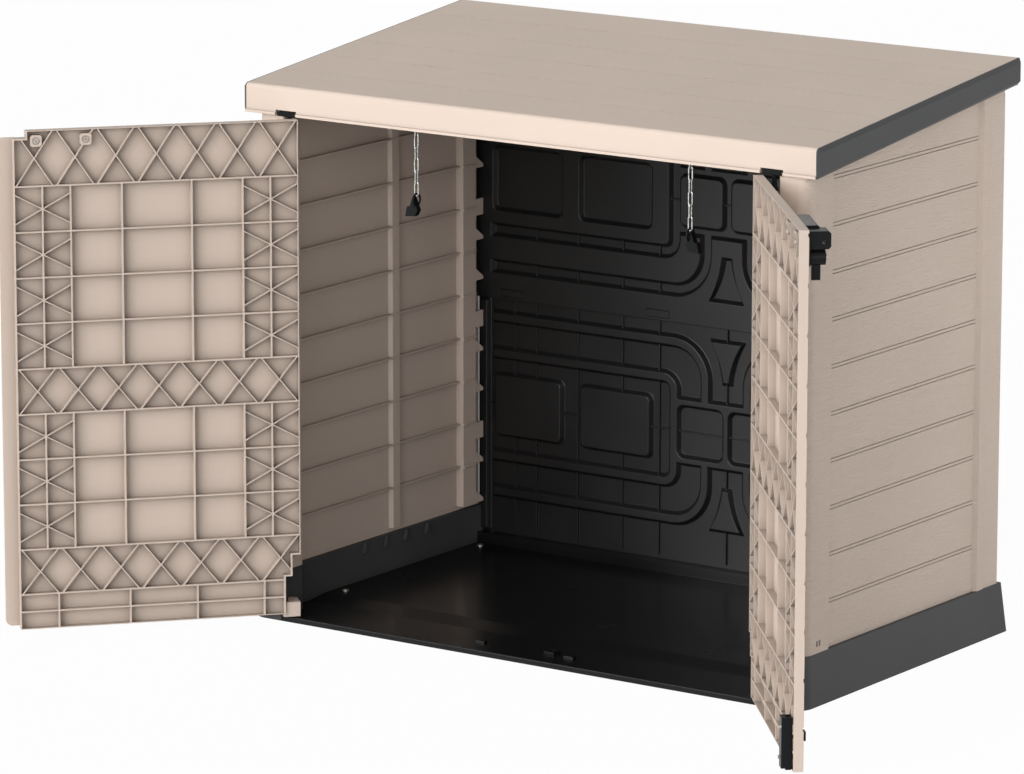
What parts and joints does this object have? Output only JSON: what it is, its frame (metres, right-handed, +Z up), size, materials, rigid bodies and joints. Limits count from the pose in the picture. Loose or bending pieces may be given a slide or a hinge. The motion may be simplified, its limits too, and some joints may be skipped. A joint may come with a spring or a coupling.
{
  "type": "bin store",
  "caption": "Low resin bin store with planked walls, a sloping lid hinged at the rear, ribbed double doors with a latch, and clip chains under the lid.",
  "frame": {"origin": "middle of the base's underside, on the ground", "axes": "+X to the right of someone who faces the doors, +Y to the back, +Z up"},
  "size_m": [2.0274, 1.2859, 1.2485],
  "materials": {
    "beige_resin": "fine matt mould grain",
    "grey_resin": "fine matt mould grain",
    "black_resin": "matt, slightly mottled",
    "black_fittings": "satin black moulding",
    "zinc_steel": "bright zinc plating"
  },
  "bodies": {
    "carcass": {"floor_panel": "black_resin", "left_base_rail": "grey_resin", "right_base_rail": "grey_resin", "left_side_panel": "beige_resin", "right_side_panel": "beige_resin", "back_panel_lower": "black_resin", "back_panel_upper": "black_resin", "back_panel_clips": "black_resin", "floor_screws": "zinc_steel", "left_top_hinge": "black_fittings", "right_top_hinge": "black_fittings", "bolt_catch": "black_fittings", "left_lid_hinge": "black_fittings", "right_lid_hinge": "black_fittings"},
    "left_door": {"left_door_panel": "beige_resin", "left_pivot_pin": "zinc_steel", "latch_keeper": "black_fittings", "keeper_screws": "zinc_steel"},
    "right_door": {"right_door_panel": "beige_resin", "right_pivot_pin": "zinc_steel", "latch_plate": "black_fittings", "latch_plate_screws": "zinc_steel", "bolt_guide": "black_fittings", "bolt_guide_screws": "zinc_steel", "lever_pin": "zinc_steel"},
    "latch_lever": {"latch_lever": "black_fittings"},
    "slide_bolt": {"slide_bolt": "black_fittings"},
    "lid": {"lid_panel": "beige_resin", "left_lid_trim": "grey_resin", "right_lid_trim": "grey_resin", "left_chain_eye": "zinc_steel", "right_chain_eye": "zinc_steel"},
    "left_chain": {"left_chain": "zinc_steel", "left_chain_clip": "black_fittings"},
    "right_chain": {"right_chain": "zinc_steel", "right_chain_clip": "black_fittings"}
  },
  "joints": [
    {"name": "left_door_hinge", "type": "hinge", "parent": "carcass", "child": "left_door", "pos_m": [-0.611, -0.385, 0], "axis": [0, 0, 1], "range_deg": [-20, 131]},
    {"name": "right_door_hinge", "type": "hinge", "parent": "carcass", "child": "right_door", "pos_m": [0.611, -0.385, 0], "axis": [0, 0, 1], "range_deg": [-131, 20]},
    {"name": "latch_lever_turn", "type": "hinge", "parent": "right_door", "child": "latch_lever", "pos_m": [0.98692, -0.81745, 1.042], "axis": [-0.7547, -0.6561, 0], "range_deg": [0, 90]},
    {"name": "bolt_slide", "type": "slide", "parent": "right_door", "child": "slide_bolt", "axis": [0, 0, 1], "range_m": [-0.018, 0]},
    {"name": "lid_hinge", "type": "hinge", "parent": "carcass", "child": "lid", "pos_m": [0, 0.392, 1.18], "axis": [-1, 0, 0], "range_deg": [0, 78]},
    {"name": "left_chain_swing", "type": "hinge", "parent": "lid", "child": "left_chain", "pos_m": [-0.347, -0.29, 1.15151], "axis": [-1, 0, 0], "range_deg": [-78, 0]},
    {"name": "right_chain_swing", "type": "hinge", "parent": "lid", "child": "right_chain", "pos_m": [0.347, -0.29, 1.15151], "axis": [-1, 0, 0], "range_deg": [-78, 0]}
  ],
  "couplings": [
    {"joint": "left_chain_swing", "follows": "lid_hinge", "ratio": -1},
    {"joint": "right_chain_swing", "follows": "lid_hinge", "ratio": -1}
  ]
}
